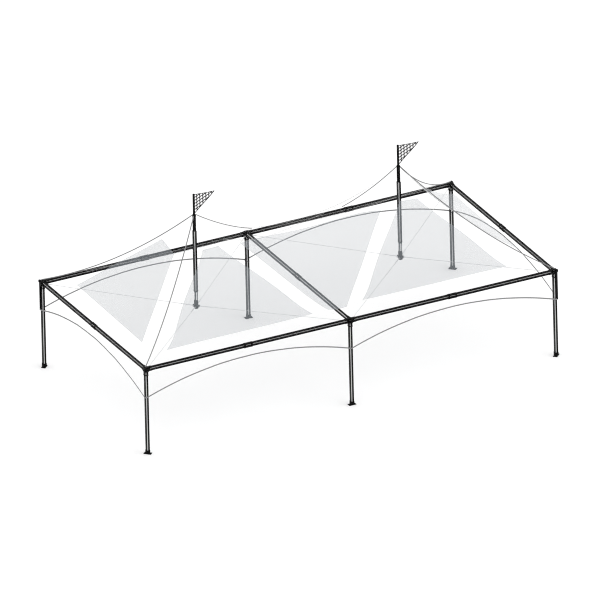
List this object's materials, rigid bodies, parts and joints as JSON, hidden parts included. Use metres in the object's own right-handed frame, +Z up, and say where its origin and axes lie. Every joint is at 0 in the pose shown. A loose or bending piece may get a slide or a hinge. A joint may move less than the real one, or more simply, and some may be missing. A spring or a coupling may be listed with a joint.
{
  "type": "marquee frame tent",
  "caption": "Open-sided party tent with peaked see-through canopy on hanging masts, cross cables, black legs and eave beams, arched valance and small pennants",
  "frame": {"origin": "on the ground under the middle of the cross beam, which is the middle of the tent", "axes": "+X along the tent's length from the left bay to the right bay, +Y across it to the back, +Z up"},
  "size_m": [12.4334, 6.3334, 5.664],
  "materials": {
    "black_anodised_aluminium": "black anodised, satin",
    "black_cast_fitting": "black, fine matt",
    "galvanised_cable": "galvanised, twisted",
    "clear_canopy_film": "clear film with light grey panels and narrow grey seams",
    "pennant_mesh": "open woven mesh"
  },
  "bodies": {
    "root": {"back_left_base_plate": "black_cast_fitting", "back_left_beam": "black_anodised_aluminium", "back_left_cable": "galvanised_cable", "back_left_head_fitting": "black_cast_fitting", "back_left_leg": "black_anodised_aluminium", "back_left_splice": "black_cast_fitting", "back_middle_base_plate": "black_cast_fitting", "back_middle_head_fitting": "black_cast_fitting", "back_middle_leg": "black_anodised_aluminium", "back_middle_to_left_cable": "galvanised_cable", "back_middle_to_right_cable": "galvanised_cable", "back_right_base_plate": "black_cast_fitting", "back_right_beam": "black_anodised_aluminium", "back_right_cable": "galvanised_cable", "back_right_head_fitting": "black_cast_fitting", "back_right_leg": "black_anodised_aluminium", "back_right_splice": "black_cast_fitting", "back_valance": "clear_canopy_film", "canopy_back_left": "clear_canopy_film", "canopy_back_right": "clear_canopy_film", "canopy_back_saddle": "clear_canopy_film", "canopy_front_left": "clear_canopy_film", "canopy_front_right": "clear_canopy_film", "canopy_front_saddle": "clear_canopy_film", "canopy_left_end": "clear_canopy_film", "canopy_right_end": "clear_canopy_film", "cross_beam": "black_anodised_aluminium", "cross_splice": "black_cast_fitting", "front_left_base_plate": "black_cast_fitting", "front_left_beam": "black_anodised_aluminium", "front_left_cable": "galvanised_cable", "front_left_head_fitting": "black_cast_fitting", "front_left_leg": "black_anodised_aluminium", "front_left_splice": "black_cast_fitting", "front_middle_base_plate": "black_cast_fitting", "front_middle_head_fitting": "black_cast_fitting", "front_middle_leg": "black_anodised_aluminium", "front_middle_to_left_cable": "galvanised_cable", "front_middle_to_right_cable": "galvanised_cable", "front_right_base_plate": "black_cast_fitting", "front_right_beam": "black_anodised_aluminium", "front_right_cable": "galvanised_cable", "front_right_head_fitting": "black_cast_fitting", "front_right_leg": "black_anodised_aluminium", "front_right_splice": "black_cast_fitting", "front_valance": "clear_canopy_film", "left_end_beam": "black_anodised_aluminium", "left_end_splice": "black_cast_fitting", "left_end_valance": "clear_canopy_film", "left_mast": "black_anodised_aluminium", "left_mast_foot": "black_cast_fitting", "left_mast_head": "black_cast_fitting", "left_pennant": "pennant_mesh", "right_end_beam": "black_anodised_aluminium", "right_end_splice": "black_cast_fitting", "right_end_valance": "clear_canopy_film", "right_mast": "black_anodised_aluminium", "right_mast_foot": "black_cast_fitting", "right_mast_head": "black_cast_fitting", "right_pennant": "pennant_mesh"}
  },
  "joints": []
}
